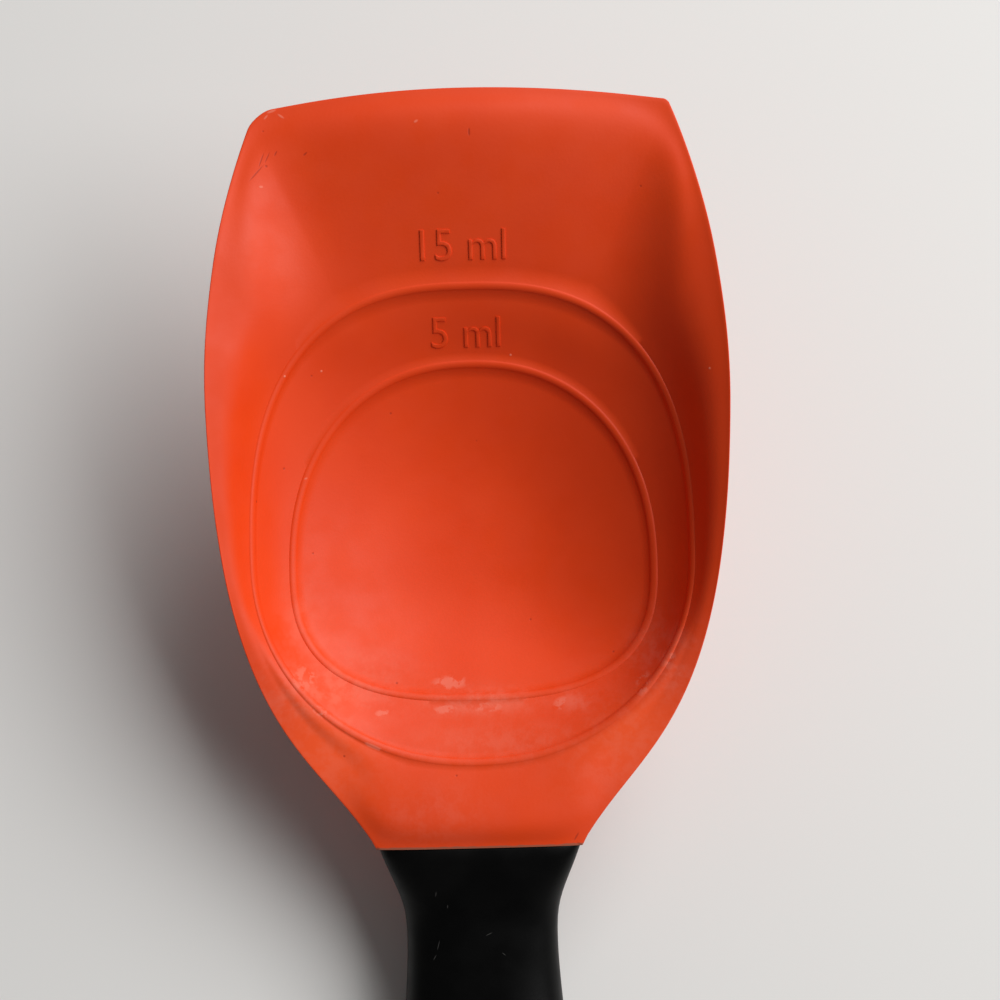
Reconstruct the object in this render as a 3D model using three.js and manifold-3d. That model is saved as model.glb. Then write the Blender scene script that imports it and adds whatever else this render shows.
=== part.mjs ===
// A cooking spoon with a raised head: a silicone scoop moulded over the blade of a stiff nylon core, and a
// black nylon handle moulded over the tang of the same core. Two raised lines in the bowl mark 5 ml and 15 ml.
// Millimetres, +Z up. The spoon stands on its heel and on the end of its handle, with the tip towards +Y.
import * as THREE from "three";
import { mergeVertices } from "three/addons/utils/BufferGeometryUtils.js";
import Module from "manifold-3d";

const wasm = await Module();
wasm.setup();

// Head outline, seen square on: x across, y from the seam to the tip
const headLength = 92.3;
const headWidth = 62.5;
const widestFromSeam = 54;
const tipWidth = 49.5;
const tipCrown = 2.4; // how far the middle of the tip stands in front of its corners
const neckWidth = 25.6; // at the seam
const flareAngle = THREE.MathUtils.degToRad(31); // side of the head against its axis, at the seam
const tipAngle = THREE.MathUtils.degToRad(24.2); // side of the head against its axis, at the tip corner
const flareReach = 14.2; // lengths of the four Bezier handles of the side outline
const shoulderReach = 40.4;
const cheekReach = 16;
const cornerReach = 7;

// Bowl: heights are above its deepest point, and places along y are from the seam
const bowlDepth = 15.2;
const bowlCentre = 37.8; // where the spokes from the deepest point to the rim cross in plan
const sideRise = 3; // how far the side rims climb above the rim plane towards the front
const climbStart = 36;
const climbEnd = 64;
const tipRise = 0.5; // tip edge above the rim plane
const tipFallReach = 20.3; // how far behind the tip the side rims turn down to it
const seamDrop = 4.8; // top of the neck below the rim plane, at the seam
const neckSideFall = 0.5; // how much lower the neck is beside its middle
const neckDropStart = 8; // where the side rims have come down to the neck
const neckDropEnd = 46; // and where they start to
const neckCrest = 0.65; // how far the neck's top rises from the seam before it falls into the bowl
const crestPlace = 0.66; // share of the way from the large line to the seam
const crestBlend = 9; // how far up the head the crest fades out
const lipPlace = 0.5; // where the wall eases into the lip: share of the way from the large line to the rim
const lipRise = 0.68; // and share of the height gained there
const tipLipPlace = 0.74; // the same two at the tip, where the lip turns down again
const tipLipRise = 1.16;
const tipLipReach = 17.3; // how far behind the tip the side lip starts to change into the tip's
const tipLipEnd = 1.3; // and how far behind the tip it has changed
const lineWidth = 1.1;
const lineHeight = 0.35;
const lineMargin = 4.15; // from the rim in to the large line, where the head is widest
const lineSpacing = 4.3; // from there in to the small line
const largeLine = {
  height: 10.75, backDip: 1.5, centre: 35.8, halfWidth: headWidth / 2 - lineMargin,
  front: 33.4, back: 25.6, frontPower: 2.6, backPower: 2.1,
};
const smallLine = {
  height: 6.15, backDip: 0.5, centre: 34.3, halfWidth: largeLine.halfWidth - lineSpacing,
  front: 25.7, back: 16.5, frontPower: 2.2, backPower: 2.7,
};
const floorShare = 0.48; // the nearly flat floor: share of the way to the small line
const floorRise = 1.25; // and its height there

// Silicone and core
const bodyThickness = 4.8; // of the head where it holds the core, measured along the head's own z
const sideLip = 1.9; // thickness of the free silicone edge at the sides
const tipLip = 1.3; // and at the tip
const neckThickness = 8;
const neckSideThickness = 4.4; // of the neck past its sides, where its bottom rounds off
const neckBlend = 20; // how far up the head the thick neck fades into the thin lip
const coreThickness = 2.2;
const clearance = 0.4; // between the core and what is moulded over it
const coreReach = 0.6; // share of the way from the large line to the lip that the blade reaches
const tongueReach = 0.6; // share of the way from the lip to the seam that the blade's tongue reaches
const windowDiameter = 7; // holes in the blade that the silicone fills
const windowSpread = 24;
const windowSpacing = 17;

// Handle: stations behind the seam
const headPitch = THREE.MathUtils.degToRad(13);
const neckBend = THREE.MathUtils.degToRad(16); // how much steeper than the head the handle leaves it
const seamHeight = 25; // rim plane of the head at the seam, above the table
const seamGap = 0.3;
const seamOverrun = 3; // how far the handle's skin runs past the seam before it is cut square
const waistFromSeam = 11.4;
const waistWidth = 19.4;
const waistThickness = 9.4;
const waistFlare = THREE.MathUtils.degToRad(24.7); // side of the handle against its axis, at the seam
const heelFromSeam = 31;
const heelWidth = 22.4;
const heelThickness = 13;
const gripFromSeam = 92;
const gripWidth = 26;
const gripThickness = 13.6;
const gripClearance = 11; // underside of the grip above the table
const tailFromEnd = 20;
const tailWidth = 23.4;
const tailThickness = 10.4;
const handleLength = 177;
const endRound = 11; // length of the rounded end
const restDepth = 0.7; // how much the heel and the end are flattened where they stand
const sectionPower = 2.7; // squareness of the handle's sections
const neckPower = 4;
const hangWidth = 7;
const hangLength = 14;
const hangFromEnd = 25; // middle of the hanging slot
const tangWidth = 11.6;
const tangThickness = 4;
const tangFromEnd = 59; // where the tang stops, short of the handle's end
const tangRootThickness = 2.6; // where it joins the blade
const tangFront = 3; // how far the tang reaches into the head
const tangHoleDiameter = 5;
const tangHoleCount = 3;
const tangHoleSpacing = 26;
const tangHoleMargin = 18; // from the tang's end to the nearest hole

// Mesh fineness
const seamSteps = 4;
const sideSteps = 15;
const tipSteps = 5;
const spanSteps = 2; // rings between two named curves of the bowl
const bladeRows = [0.05, 0.3, 0.5, 0.68, 0.84, 1]; // shares of the way from the deepest point to the blade's edge
const sectionSteps = 28;
const tangSteps = 16;
const handleStep = 6;
const endSteps = 4; // rings in the rounded end
const holeSides = 16;

const siliconeRed = new THREE.MeshStandardMaterial({ color: 0xd83a1a, roughness: 0.55, metalness: 0 });
const coreGrey = new THREE.MeshStandardMaterial({ color: 0x3a3d42, roughness: 0.6, metalness: 0 });
const nylonBlack = new THREE.MeshStandardMaterial({ color: 0x0b0b0d, roughness: 0.4, metalness: 0 });

// Solids and booleans

function solidOf(geometry) {
  const bare = new THREE.BufferGeometry();
  bare.setAttribute("position", geometry.getAttribute("position"));
  if (geometry.index) bare.setIndex(geometry.index);
  const merged = mergeVertices(bare, 1e-4);
  return new wasm.Manifold(
    new wasm.Mesh({
      numProp: 3,
      vertProperties: new Float32Array(merged.attributes.position.array),
      triVerts: new Uint32Array(merged.index.array),
    }),
  );
}

function geometryOf(solid) {
  const mesh = solid.getMesh();
  const geometry = new THREE.BufferGeometry();
  geometry.setAttribute("position", new THREE.BufferAttribute(mesh.vertProperties, 3));
  geometry.setIndex(new THREE.BufferAttribute(mesh.triVerts, 1));
  geometry.computeVertexNormals();
  return geometry;
}

// A closed skin through rings of equal counts, each end closed by a fan
function loft(rings) {
  const count = rings[0].length;
  const points = rings.flat();
  const faces = [];
  for (let r = 0; r + 1 < rings.length; r++) {
    for (let j = 0; j < count; j++) {
      const a = r * count + j;
      const b = r * count + ((j + 1) % count);
      faces.push(a, a + count, b + count, a, b + count, b);
    }
  }
  const last = (rings.length - 1) * count;
  const middles = [rings[0], rings[rings.length - 1]].map((ring) =>
    ring.reduce((sum, p) => sum.add(p), new THREE.Vector3()).divideScalar(count),
  );
  points.push(...middles);
  for (let j = 0; j < count; j++) {
    const next = (j + 1) % count;
    faces.push(points.length - 2, j, next, last + j, points.length - 1, last + next);
  }
  return new THREE.BufferGeometry().setFromPoints(points).setIndex(faces);
}

// Head outline: the right half from the middle of the seam to the middle of the tip

function halfRim() {
  const neckCorner = new THREE.Vector2(neckWidth / 2, 0);
  const tipCorner = new THREE.Vector2(tipWidth / 2, headLength - tipCrown);
  const widest = new THREE.Vector2(headWidth / 2, widestFromSeam);
  const lower = new THREE.CubicBezierCurve(
    neckCorner,
    new THREE.Vector2(Math.sin(flareAngle), Math.cos(flareAngle)).multiplyScalar(flareReach).add(neckCorner),
    new THREE.Vector2(widest.x, widest.y - shoulderReach),
    widest,
  );
  const upper = new THREE.CubicBezierCurve(
    widest,
    new THREE.Vector2(widest.x, widest.y + cheekReach),
    new THREE.Vector2(Math.sin(tipAngle), -Math.cos(tipAngle)).multiplyScalar(cornerReach).add(tipCorner),
    tipCorner,
  );
  const side = new THREE.CurvePath();
  side.add(lower);
  side.add(upper);
  const tipRadius = (tipCorner.x ** 2 + tipCrown ** 2) / (2 * tipCrown);
  const points = [];
  for (let i = 0; i < seamSteps; i++) points.push(new THREE.Vector2((neckCorner.x * i) / seamSteps, 0));
  points.push(...side.getSpacedPoints(sideSteps).slice(0, -1));
  for (let i = 0; i <= tipSteps; i++) {
    const x = tipCorner.x * (1 - i / tipSteps);
    points.push(new THREE.Vector2(x, headLength - tipRadius + Math.sqrt(tipRadius ** 2 - x ** 2)));
  }
  return points;
}

function wholeRim() {
  const right = halfRim();
  const left = right.slice(1, -1).reverse().map((p) => new THREE.Vector2(-p.x, p.y));
  return [...right, ...left];
}

// Bowl: each spoke runs from the deepest point over both lines and the lip to the rim

function linePoint(line, angle) {
  const [c, s] = [Math.cos(angle), Math.sin(angle)];
  const [reach, power] = s > 0 ? [line.front, line.frontPower] : [line.back, line.backPower];
  const share = (Math.abs(c) / line.halfWidth) ** power + (Math.abs(s) / reach) ** power;
  const radius = share ** (-1 / power);
  const dip = line.backDip * Math.max(0, -s) ** 2;
  return new THREE.Vector3(radius * c, line.centre + radius * s, line.height - dip - bowlDepth);
}

// 0 in the middle of the neck, half at its corners and nearly 1 past them
function atSide(p) {
  const share = (Math.abs(p.x) / (neckWidth / 2)) ** neckPower;
  return share / (1 + share);
}

function rimHeight(p) {
  const climb = THREE.MathUtils.smoothstep(p.y, climbStart, climbEnd);
  const front = THREE.MathUtils.smoothstep(p.y, headLength - tipFallReach, headLength);
  const neck = 1 - THREE.MathUtils.smoothstep(p.y, neckDropStart, neckDropEnd);
  return sideRise * climb - (sideRise - tipRise) * front - (seamDrop + neckSideFall * atSide(p)) * neck;
}

function rimThickness(p) {
  const front = THREE.MathUtils.smoothstep(p.y, widestFromSeam, headLength);
  const neck = THREE.MathUtils.lerp(neckThickness, neckSideThickness, atSide(p));
  const neckShare = 1 - THREE.MathUtils.smoothstep(p.y, 0, neckBlend);
  return THREE.MathUtils.lerp(THREE.MathUtils.lerp(sideLip, tipLip, front), neck, neckShare);
}

const knots = { bottom: 1 / 6, floor: 2 / 6, small: 3 / 6, large: 4 / 6, lip: 5 / 6, rim: 1 }; // on each spoke

function floorPoint(bottom, angle) {
  const p = bottom.clone().lerp(linePoint(smallLine, angle), floorShare);
  p.z = bottom.z + floorRise;
  return p;
}

function makeSpoke(rim) {
  const angle = Math.atan2(rim.y - bowlCentre, rim.x);
  const edge = new THREE.Vector3(rim.x, rim.y, rimHeight(rim));
  const large = linePoint(largeLine, angle);
  const front = THREE.MathUtils.smoothstep(rim.y, headLength - tipLipReach, headLength - tipLipEnd);
  const crest = 1 - THREE.MathUtils.smoothstep(rim.y, 0, crestBlend);
  const place = THREE.MathUtils.lerp(THREE.MathUtils.lerp(lipPlace, tipLipPlace, front), crestPlace, crest);
  const lip = large.clone().lerp(edge, place);
  lip.z = THREE.MathUtils.lerp(large.z, edge.z, THREE.MathUtils.lerp(lipRise, tipLipRise, front));
  lip.z = THREE.MathUtils.lerp(lip.z, edge.z + neckCrest, crest);
  const bottom = new THREE.Vector3(0, smallLine.centre, -bowlDepth);
  const small = linePoint(smallLine, angle);
  const stops = [floorPoint(bottom, angle + Math.PI), bottom, floorPoint(bottom, angle), small, large, lip, edge];
  const curve = new THREE.CatmullRomCurve3(stops, false, "catmullrom", 0.5);
  return { rim, angle, curve, edgeThickness: rimThickness(rim) };
}

const spokes = wholeRim().map(makeSpoke);

function spokeStep(spoke, t, distance) {
  const nudge = 0.002;
  return (distance * nudge) / spoke.curve.getPoint(t).distanceTo(spoke.curve.getPoint(t - nudge));
}

function thicknessAt(spoke, t) {
  const share = THREE.MathUtils.smoothstep(t, knots.large + 0.12, knots.rim);
  const neck = THREE.MathUtils.smoothstep(t, knots.large, knots.rim);
  const free = spoke.edgeThickness < bodyThickness;
  return THREE.MathUtils.lerp(bodyThickness, spoke.edgeThickness, free ? share : neck);
}

// Places along the spokes between two named curves, without the ends
function between(from, to) {
  return Array.from({ length: spanSteps }, (_, i) => from + ((to - from) * (i + 1)) / (spanSteps + 1));
}

function ring(place) {
  return spokes.map((spoke) => place(spoke));
}

function lineRings(t) {
  return [-1, 0, 1].map((side) =>
    ring((spoke) => {
      const p = spoke.curve.getPoint(t + side * spokeStep(spoke, t, lineWidth / 2));
      if (side === 0) p.z += lineHeight;
      return p;
    }),
  );
}

function headSolid() {
  const topRing = (t) => ring((spoke) => spoke.curve.getPoint(t));
  const underRing = (t) =>
    ring((spoke) => {
      const p = spoke.curve.getPoint(t);
      p.z -= thicknessAt(spoke, t);
      return p;
    });
  const inner = [...between(knots.bottom, knots.floor), knots.floor, ...between(knots.floor, knots.small)];
  const middle = between(knots.small, knots.large);
  const outer = [...between(knots.large, knots.lip), knots.lip, ...between(knots.lip, knots.rim), knots.rim];
  const top = [
    ...inner.map(topRing), ...lineRings(knots.small),
    ...middle.map(topRing), ...lineRings(knots.large),
    ...outer.map(topRing),
  ];
  const under = [...inner, knots.small, ...middle, knots.large, ...outer].reverse().map(underRing);
  return solidOf(loft([...top, ...under]));
}

// Volume in the bowl up to a line, as a stack of cones from the deepest point
function volumeBelow(lineKnot, height) {
  const level = height - bowlDepth;
  const steps = 40;
  let volume = 0;
  spokes.forEach((spoke, j) => {
    const next = spokes[(j + 1) % spokes.length];
    for (let i = 0; i < steps; i++) {
      const [t0, t1] = [i, i + 1].map((k) => knots.bottom + ((lineKnot - knots.bottom) * k) / steps);
      const [a, b, c, d] = [
        spoke.curve.getPoint(t0), spoke.curve.getPoint(t1), next.curve.getPoint(t1), next.curve.getPoint(t0),
      ];
      const area = Math.abs((c.x - a.x) * (d.y - b.y) - (c.y - a.y) * (d.x - b.x)) / 2;
      volume += area * (level - (a.z + b.z + c.z + d.z) / 4);
    }
  });
  return volume / 1000;
}

// Core: a dished blade inside the head and a tang inside the handle

function bladeEdge(spoke) {
  const onSeam = spoke.rim.y === 0 && Math.abs(spoke.rim.x) < (0.6 * neckWidth) / 2;
  return onSeam
    ? THREE.MathUtils.lerp(knots.lip, knots.rim, tongueReach)
    : THREE.MathUtils.lerp(knots.large, knots.lip, coreReach);
}

// The blade, or its pocket when grown: both have the same rows, so their faces stay parallel
function bladeSolid(grow) {
  const half = coreThickness / 2 + grow;
  const rows = bladeRows.map((share) => (spoke) => THREE.MathUtils.lerp(knots.bottom, bladeEdge(spoke), share));
  if (grow > 0) rows.push((spoke) => bladeEdge(spoke) + spokeStep(spoke, bladeEdge(spoke), grow));
  const at = (row, rise) =>
    ring((spoke) => {
      const t = row(spoke);
      const p = spoke.curve.getPoint(t);
      p.z += rise - thicknessAt(spoke, t) / 2;
      return p;
    });
  const top = rows.map((row) => at(row, half));
  const under = [...rows].reverse().map((row) => at(row, -half));
  return solidOf(loft([...top, ...under]));
}

function bladeWindows() {
  const middle = smallLine.centre + 4;
  const rows = [-windowSpacing / 2, windowSpacing / 2];
  const sides = [-windowSpread / 2, windowSpread / 2];
  const places = rows.flatMap((row) => sides.map((x) => [x, middle + row]));
  places.push([0, middle + windowSpacing / 2 + windowSpread / 2 + windowDiameter / 2]);
  return places;
}

function postSolids(diameter) {
  return bladeWindows().map(([x, y]) => {
    const post = new THREE.CylinderGeometry(diameter / 2, diameter / 2, 3 * bowlDepth, holeSides);
    return solidOf(post.rotateX(Math.PI / 2).translate(x, y, -bowlDepth));
  });
}

// Handle: sections on a spine that starts square to the head's seam

const across = new THREE.Vector3(1, 0, 0);
const headPlace = new THREE.Matrix4()
  .makeTranslation(0, 0, seamHeight)
  .multiply(new THREE.Matrix4().makeRotationX(headPitch));
const headAxis = new THREE.Vector3(0, 1, 0).transformDirection(headPlace);
const seamCentre = new THREE.Vector3(0, 0, -seamDrop - neckThickness / 2).applyMatrix4(headPlace);
const neckAxis = headAxis.clone().applyAxisAngle(across, neckBend);
const waist = seamCentre.clone().addScaledVector(neckAxis, -waistFromSeam);
const spinePoints = [
  seamCentre.clone().addScaledVector(headAxis, waistFromSeam),
  seamCentre,
  waist,
  new THREE.Vector3(0, -heelFromSeam, heelThickness / 2 - restDepth),
  new THREE.Vector3(0, -gripFromSeam, gripClearance + gripThickness / 2),
  new THREE.Vector3(0, -(handleLength - tailFromEnd), tailThickness / 2 - restDepth),
  new THREE.Vector3(0, -handleLength, tailThickness / 2 - restDepth),
];
const spine = new THREE.CatmullRomCurve3(spinePoints, false, "centripetal");
const flaredWidth = neckWidth + 2 * waistFromSeam * Math.tan(waistFlare); // so that the sides widen towards the head
const stationSizes = [
  [flaredWidth, neckThickness], [neckWidth, neckThickness], [waistWidth, waistThickness],
  [heelWidth, heelThickness], [gripWidth, gripThickness], [tailWidth, tailThickness],
  [tailWidth, tailThickness],
].map(([width, thickness]) => new THREE.Vector3(width / 2, thickness / 2, 0));
const sizes = new THREE.CatmullRomCurve3(stationSizes, false, "catmullrom", 0.5);
const seamArc = waistFromSeam; // length of the spine in front of the seam
const endArc = spine.getLength() - seamArc; // from the seam to the handle's end, along the spine

function spineAt(fromSeam) {
  return spine.getUtoTmapping(0, seamArc + fromSeam);
}

// A rounded rectangle square to the spine
function section(fromSeam, halfWidth, halfThickness, power, count) {
  const t = spineAt(fromSeam);
  const centre = spine.getPoint(t);
  const up = spine.getTangent(t).cross(across).normalize();
  const round = (v) => Math.sign(v) * Math.abs(v) ** (2 / power);
  return Array.from({ length: count }, (_, i) => {
    const angle = (2 * Math.PI * i) / count;
    return centre
      .clone()
      .addScaledVector(across, halfWidth * round(Math.sin(angle)))
      .addScaledVector(up, halfThickness * round(Math.cos(angle)));
  });
}

function handleSection(fromSeam) {
  const size = sizes.getPoint(spineAt(fromSeam));
  const left = Math.min(1, Math.max(0, (endArc - fromSeam) / endRound)); // 0 at the very end
  const shrink = Math.sqrt(1 - (1 - left) ** 2);
  const neck = 1 - THREE.MathUtils.smoothstep(fromSeam, 0, waistFromSeam);
  const power = THREE.MathUtils.lerp(sectionPower, neckPower, neck);
  return section(fromSeam, size.x * shrink, size.y * Math.sqrt(shrink), power, sectionSteps);
}

function handleBody() {
  const straight = endArc - endRound + seamOverrun;
  const count = Math.ceil(straight / handleStep);
  const rings = Array.from({ length: count + 1 }, (_, i) => handleSection((straight * i) / count - seamOverrun));
  for (let i = 1; i <= endSteps; i++) {
    rings.push(handleSection(endArc - endRound * (1 - Math.sin((0.49 * Math.PI * i) / endSteps))));
  }
  return solidOf(loft(rings));
}

function hangingSlot() {
  const radius = hangWidth / 2;
  const run = hangLength / 2 - radius;
  const outline = new THREE.Shape();
  outline.absarc(0, run, radius, 0, Math.PI);
  outline.absarc(0, -run, radius, Math.PI, 2 * Math.PI);
  const depth = 4 * gripThickness;
  const slot = new THREE.ExtrudeGeometry(outline, { depth, bevelEnabled: false, curveSegments: holeSides / 2 });
  return solidOf(slot.translate(0, hangFromEnd - handleLength, -depth / 4));
}

function seamCut() {
  const block = new THREE.BoxGeometry(2 * headWidth, headLength, headLength);
  return solidOf(block.translate(0, headLength / 2 - seamGap, 0).applyMatrix4(headPlace));
}

function tableCut() {
  const block = new THREE.BoxGeometry(2 * headWidth, 3 * handleLength, handleLength);
  return solidOf(block.translate(0, 0, -handleLength / 2));
}

const tangEnd = endArc - tangFromEnd;

function tangSolid(grow) {
  const [from, to] = [-tangFront - grow, tangEnd + grow];
  const count = Math.ceil((to - from) / handleStep);
  const rings = Array.from({ length: count + 1 }, (_, i) => {
    const fromSeam = from + ((to - from) * i) / count;
    const full = THREE.MathUtils.smoothstep(fromSeam, 0, waistFromSeam);
    const thickness = THREE.MathUtils.lerp(tangRootThickness, tangThickness, full);
    return section(fromSeam, tangWidth / 2 + grow, thickness / 2 + grow, neckPower, tangSteps);
  });
  return loft(rings);
}

function tangPosts(diameter) {
  return Array.from({ length: tangHoleCount }, (_, i) => {
    const t = spineAt(tangEnd - tangHoleMargin - i * tangHoleSpacing);
    const up = spine.getTangent(t).cross(across).normalize();
    const turn = new THREE.Quaternion().setFromUnitVectors(new THREE.Vector3(0, 1, 0), up);
    const post = new THREE.CylinderGeometry(diameter / 2, diameter / 2, gripThickness / 2, holeSides);
    const centre = spine.getPoint(t);
    return post.applyQuaternion(turn).translate(centre.x, centre.y, centre.z);
  });
}

// Moulded pieces, each cut to the core inside it with the clearance

const toHead = headPlace.clone().invert();
const inHead = (geometry) => solidOf(geometry.clone().applyMatrix4(toHead));
const cut = (solid, tools) => tools.reduce((rest, tool) => rest.subtract(tool), solid);
const join = (solid, pieces) => pieces.reduce((sum, piece) => sum.add(piece), solid);

function makeSiliconeHead() {
  const keys = postSolids(windowDiameter - 2 * clearance);
  const bladePocket = cut(bladeSolid(clearance), keys);
  return cut(headSolid(), [bladePocket, inHead(tangSolid(clearance))]);
}

function makeCore() {
  const blade = cut(bladeSolid(0), postSolids(windowDiameter));
  const tang = cut(inHead(tangSolid(0)), tangPosts(tangHoleDiameter).map(inHead));
  return blade.add(tang);
}

function makeHandle() {
  const keys = tangPosts(tangHoleDiameter - 2 * clearance).map(solidOf);
  const pocket = cut(solidOf(tangSolid(clearance)), keys);
  return cut(handleBody(), [pocket, hangingSlot(), seamCut(), tableCut()]);
}

// Assembly

function named(name, solid, material) {
  const mesh = new THREE.Mesh(geometryOf(solid), material);
  mesh.name = name;
  return mesh;
}

const head = new THREE.Group();
head.position.z = seamHeight;
head.rotation.x = headPitch;
head.add(named("silicone_head", makeSiliconeHead(), siliconeRed));
head.add(named("nylon_core", makeCore(), coreGrey));

const spoon = new THREE.Group();
spoon.add(head);
spoon.add(named("handle", makeHandle(), nylonBlack));

// The origin is on the table, under the middle of the spoon's length
spoon.updateMatrixWorld(true);
const reach = new THREE.Box3().setFromObject(spoon, true);
for (const piece of spoon.children) piece.position.y -= (reach.min.y + reach.max.y) / 2;

const small = volumeBelow(knots.small, smallLine.height);
const large = volumeBelow(knots.large, largeLine.height);
console.log(`bowl holds ${small.toFixed(2)} ml to the small line and ${large.toFixed(2)} ml to the large one`);

export default spoon;
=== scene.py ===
import math
import bmesh
import bpy
from mathutils import Matrix, Vector
from mathutils.bvhtree import BVHTree
from mathutils.geometry import interpolate_bezier


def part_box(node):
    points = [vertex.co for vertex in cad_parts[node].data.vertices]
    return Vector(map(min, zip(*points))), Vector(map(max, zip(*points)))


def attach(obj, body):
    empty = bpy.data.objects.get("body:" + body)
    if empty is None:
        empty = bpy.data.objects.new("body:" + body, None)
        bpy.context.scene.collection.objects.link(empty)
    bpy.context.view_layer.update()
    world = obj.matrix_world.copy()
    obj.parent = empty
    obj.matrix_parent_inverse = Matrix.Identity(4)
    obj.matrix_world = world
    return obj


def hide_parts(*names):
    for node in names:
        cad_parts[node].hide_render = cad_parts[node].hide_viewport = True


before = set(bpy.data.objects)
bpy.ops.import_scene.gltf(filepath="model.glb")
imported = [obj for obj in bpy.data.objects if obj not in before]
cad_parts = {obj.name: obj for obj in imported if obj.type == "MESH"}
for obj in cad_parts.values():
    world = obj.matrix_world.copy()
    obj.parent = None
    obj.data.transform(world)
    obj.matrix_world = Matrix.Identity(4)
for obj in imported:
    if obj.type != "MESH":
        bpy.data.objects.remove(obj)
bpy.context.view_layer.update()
print("frame:", sorted(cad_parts))

# The head is modelled in its own millimetres: x across, y from the seam to the tip, z up from the rim plane
mm = 0.001
headPlace = {"pitch": math.radians(13), "rimHeight": 25.0}
outline = {
    "length": 92.3,
    "width": 62.5,
    "widest": 54.0,
    "tipWidth": 49.5,
    "tipCrown": {1: 2.0, -1: 2.5},  # worn down more on the left
    "sideRise": 3.0,  # the side rims climb towards the front and come down to the tip
    "sideClimb": (36.0, 64.0),
    "tipRise": 0.5,
    "tipDip": (72.0, 92.3),
    "tipLip": 1.3,
    "neckWidth": 25.6,
    "flare": math.radians(31),
    "tipLean": math.radians(24.2),
    "reaches": (14.2, 40.4, 15.2, 6.4),  # flare, shoulder, cheek and tip corner
    "cornerCut": {1: 0.5, -1: 2.0},  # right corner sharp, left corner worn round
    "cornerPull": 0.5,
    "lowerSteps": 200,
    "upperSteps": 120,
    "arcSteps": 200,
    "seamSteps": 18,
    "sideSteps": 84,
    "cornerSteps": 8,
    "tipSteps": 34,
}
tipFoot = Vector((0, outline["length"], outline["tipRise"] - outline["tipLip"]))  # lower edge of the tip
tipReach = (Matrix.Rotation(headPlace["pitch"], 3, "X") @ tipFoot).y
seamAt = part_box("silicone_head")[1].y / mm - tipReach
seamPose = Matrix.Translation((0, 0, headPlace["rimHeight"])) @ Matrix.Rotation(headPlace["pitch"], 4, "X")
spoonPose = Matrix.Translation((0, seamAt, 0))  # seam above the origin, z up from the table
headPose = spoonPose @ seamPose
toMetres = Matrix.Scale(mm, 4)
clear = 50.0  # a height well above the part, and below it when negative
planeSlack = 0.00001
speckCore = 0.3  # marks have their full strength within this share of their size
strokeCore = 0.4
strokeDepth = 1000
bevelProfile = 0.5  # a round one


# small helpers

def mix(a, b, share):
    return a + (b - a) * share


def ease(value, low, high):
    share = min(1.0, max(0.0, (value - low) / (high - low)))
    return share * share * (3 - 2 * share)


def evenly(points, count):  # the same line with count points at equal distances
    far = [0.0]
    for a, b in zip(points, points[1:]):
        far.append(far[-1] + (b - a).length)
    spaced = []
    k = 0
    for i in range(count):
        wanted = far[-1] * i / (count - 1)
        while k + 2 < len(points) and far[k + 1] < wanted:
            k += 1
        spaced.append(points[k].lerp(points[k + 1], (wanted - far[k]) / (far[k + 1] - far[k])))
    return spaced


def hermite(b, c, inTurn, outTurn, w):  # from b to c, leaving along inTurn and arriving along outTurn
    cubic = 2 * b - 2 * c + inTurn + outTurn
    square = 3 * c - 3 * b - 2 * inTurn - outTurn
    return cubic * w**3 + square * w**2 + inTurn * w + b


def through(stops, place):  # smooth curve through the stops, place 1.5 is half way from stop 1 to stop 2
    k = min(int(place), len(stops) - 2)
    w = min(place - k, 1.0)
    past = place - k - w  # straight on past the last stop
    b, c = stops[k], stops[k + 1]
    a = stops[k - 1] if k > 0 else 2 * b - c
    d = stops[k + 2] if k + 2 < len(stops) else 2 * c - b
    inTurn, outTurn = (c - a) / 2, (d - b) / 2
    return hermite(b, c, inTurn, outTurn, w) + outTurn * past


def startRing(bm, places):  # a fan from the middle to the first ring
    made = bmesh.ops.create_circle(bm, cap_ends=True, cap_tris=True, segments=len(places), radius=1)["verts"]
    ring = [v for v in made if not all(len(e.link_faces) == 2 for e in v.link_edges)]
    middle = [v for v in made if v not in ring][0]
    middle.co = sum(places, Vector((0, 0, 0))) / len(places)
    ring.sort(key=lambda v: math.atan2(v.co.y, v.co.x) % (2 * math.pi))
    for v, place in zip(ring, places):
        v.co = place
    return ring


def ringEdges(bm, ring):
    return [bm.edges.get((a, b)) for a, b in zip(ring, ring[1:] + ring[:1])]


def nextRing(bm, ring, places):  # extrudes the ring and moves it on
    grown = bmesh.ops.extrude_edge_only(bm, edges=ringEdges(bm, ring))["geom"]
    fresh = {v for v in grown if isinstance(v, bmesh.types.BMVert)}
    moved = [next(e.other_vert(v) for e in v.link_edges if e.other_vert(v) in fresh) for v in ring]
    for v, place in zip(moved, places):
        v.co = place
    return moved


def closeRing(bm, ring):  # a fan over the last ring
    cap = bmesh.ops.edgeloop_fill(bm, edges=ringEdges(bm, ring))["faces"]
    bmesh.ops.poke(bm, faces=cap)


def finishPiece(name, bm, finish, slotName, sharpAngle, *nodes):
    bmesh.ops.recalc_face_normals(bm, faces=bm.faces[:])
    mesh = bpy.data.meshes.new(name)
    bm.to_mesh(mesh)
    bm.free()
    mesh.shade_smooth()
    mesh.set_sharp_from_angle(angle=sharpAngle)
    mesh.materials.append(finish)
    piece = bpy.data.objects.new(name, mesh)
    bpy.context.scene.collection.objects.link(piece)
    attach(piece, "root")
    if nodes:
        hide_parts(*nodes)
    print("piece:", name, len(mesh.vertices), "vertices")


# node helpers

def addNode(tree, kind, inputs, **settings):
    made = tree.nodes.new(kind)
    for key, value in settings.items():
        setattr(made, key, value)
    for key, value in inputs.items():
        if isinstance(value, bpy.types.NodeSocket):
            tree.links.new(value, made.inputs[key])
        else:
            made.inputs[key].default_value = value
    return made


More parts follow.
